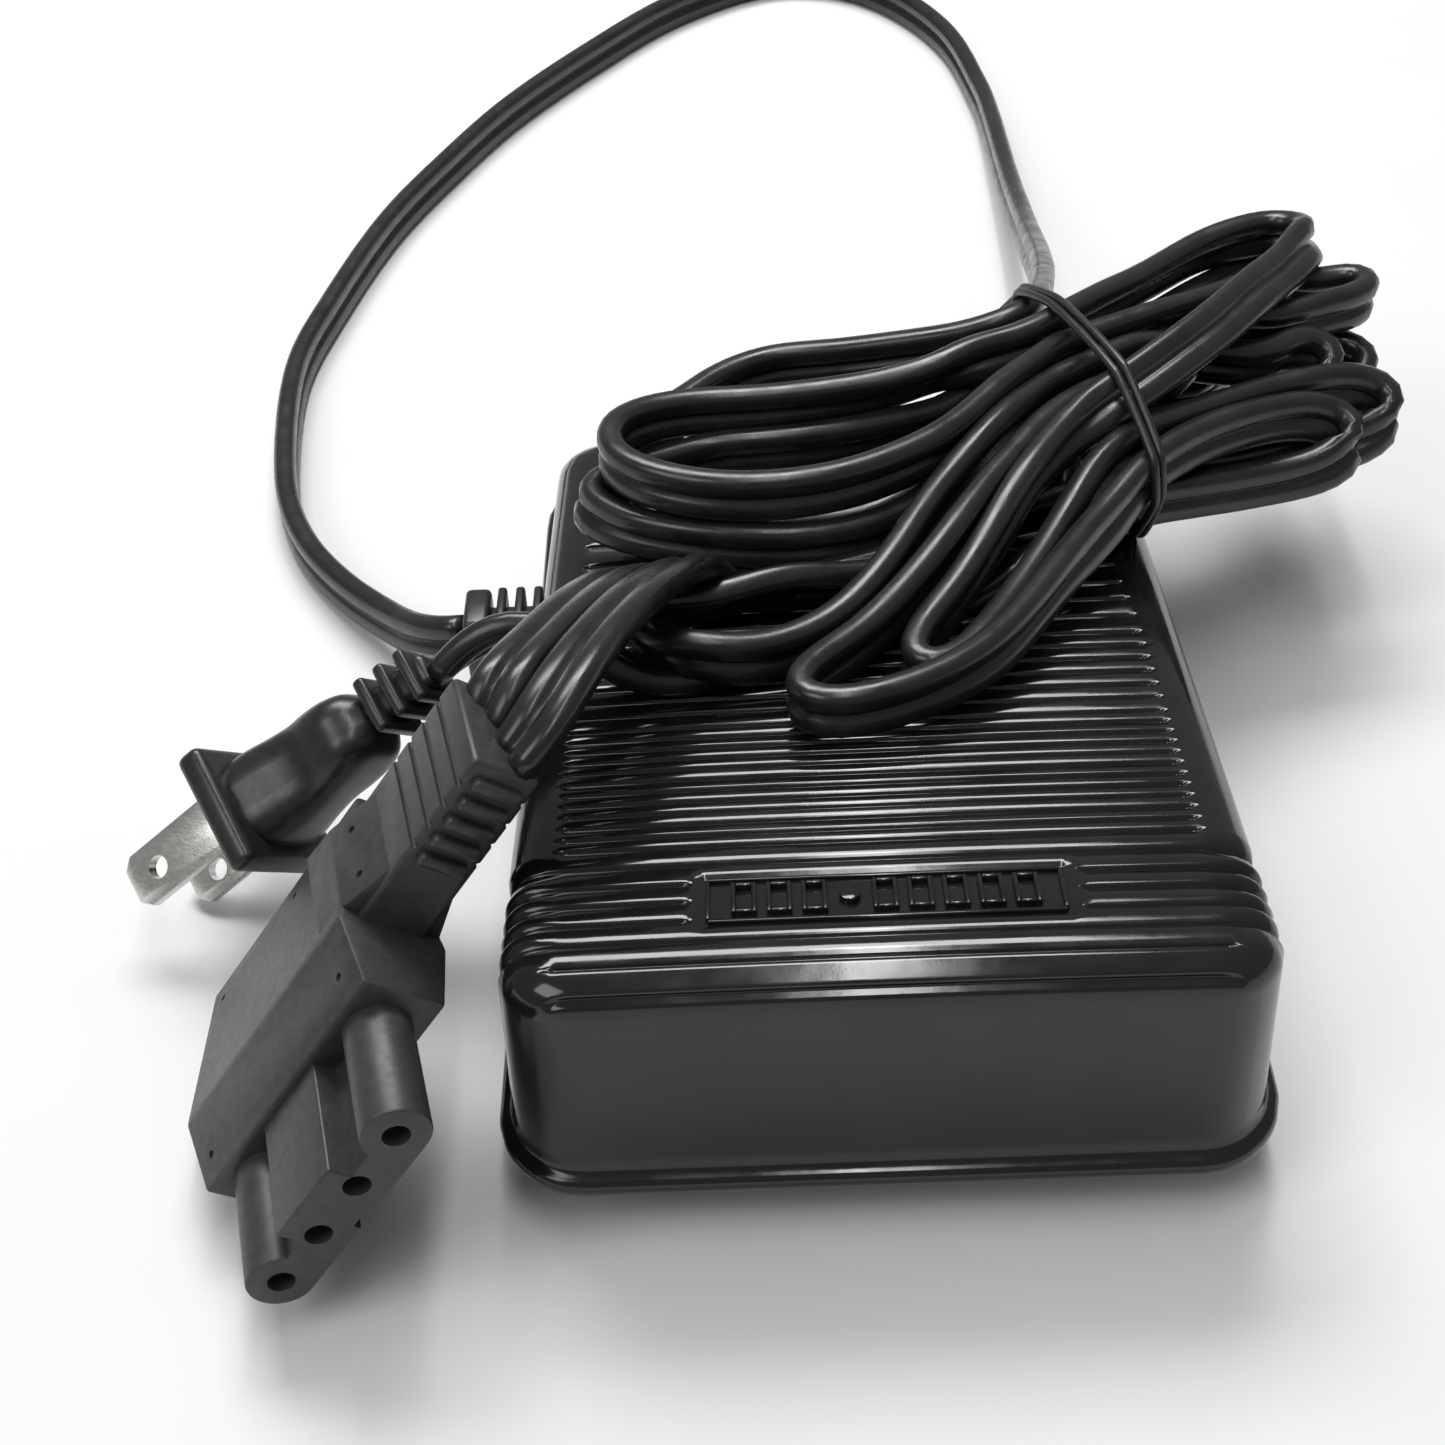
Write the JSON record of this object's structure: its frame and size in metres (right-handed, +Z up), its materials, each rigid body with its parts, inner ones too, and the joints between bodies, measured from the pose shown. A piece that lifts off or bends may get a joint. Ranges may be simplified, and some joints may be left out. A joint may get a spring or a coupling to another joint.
{
  "type": "sewing machine pedal",
  "caption": "Sloping ribbed foot control hinged at the heel over an inset base, with a folded mains lead, two-blade plug and right-angle machine connector.",
  "frame": {"origin": "centre of the foot control's plan, on the surface the rubber feet stand on", "axes": "+Z up, +Y from the high toe end to the low hinged heel end, +X to the right seen from the toe end; the lead leaves on the -X side"},
  "size_m": [0.1871, 0.3757, 0.065],
  "materials": {
    "cover_black": "high-gloss black injection moulding",
    "base_black": "satin black moulding",
    "lead_black": "semi-gloss black PVC twin lead",
    "plug_black": "satin black moulded PVC",
    "connector_black": "fine matt black moulding",
    "tie_black": "black plastic-coated tie",
    "rubber": "matt black rubber",
    "steel": "zinc-plated steel",
    "nickel": "nickel-plated brass",
    "brass": "drawn brass",
    "aluminium": "extruded aluminium",
    "copper": "enamelled copper wire",
    "board": "tan paper laminate",
    "capacitor_film": "dark red dipped film",
    "epoxy": "black moulded epoxy",
    "nylon": "natural nylon"
  },
  "bodies": {
    "base": {"base_tray": "base_black", "bottom_plate": "steel", "rubber_foot_1": "rubber", "rubber_foot_2": "rubber", "rubber_foot_3": "rubber", "rubber_foot_4": "rubber", "base_screw_1": "steel", "base_screw_2": "steel", "base_screw_3": "steel", "base_screw_4": "steel", "hinge_pin": "steel", "hinge_clip_left": "nylon", "hinge_clip_right": "nylon", "return_spring_left": "steel", "return_spring_right": "steel", "stop_pad": "rubber", "circuit_board": "board", "triac": "epoxy", "heatsink": "aluminium", "filter_capacitor": "capacitor_film", "choke_coil": "copper", "resistor_1": "board", "resistor_2": "board", "pot_body": "epoxy", "terminal_block": "nylon", "cord_clamp": "nylon", "clamp_screw_1": "steel", "clamp_screw_2": "steel", "inner_wire_1": "copper", "inner_wire_2": "copper", "strain_relief": "plug_black", "pedal_lead": "lead_black", "mains_lead": "lead_black", "connector_lead_1": "lead_black", "connector_lead_2": "lead_black", "cord_hank": "lead_black", "twist_tie": "tie_black", "plug_body": "plug_black", "plug_blade_1": "nickel", "plug_blade_2": "nickel", "connector_body": "connector_black", "socket_contact_1": "brass", "socket_contact_2": "brass", "socket_contact_3": "brass", "socket_contact_4": "brass"},
    "treadle": {"treadle_cover": "cover_black", "actuator_post": "nylon"},
    "slider": {"pot_slider": "nylon"}
  },
  "joints": [
    {"name": "treadle_hinge", "type": "hinge", "parent": "base", "child": "treadle", "pos_m": [0, 0.0595, 0.0115], "axis": [1, 0, 0], "range_deg": [0, 3], "stiffness_Nm_per_rad": 12, "springref_deg": -3.44, "deforming": ["return_spring_left", "return_spring_right"]},
    {"name": "slider_slide", "type": "slide", "parent": "base", "child": "slider", "axis": [0, 0, -1], "range_m": [0, 0.006], "stiffness_N_per_m": 20}
  ],
  "couplings": [
    {"joint": "slider_slide", "follows": "treadle_hinge", "m_per_rad": 0.1105}
  ]
}
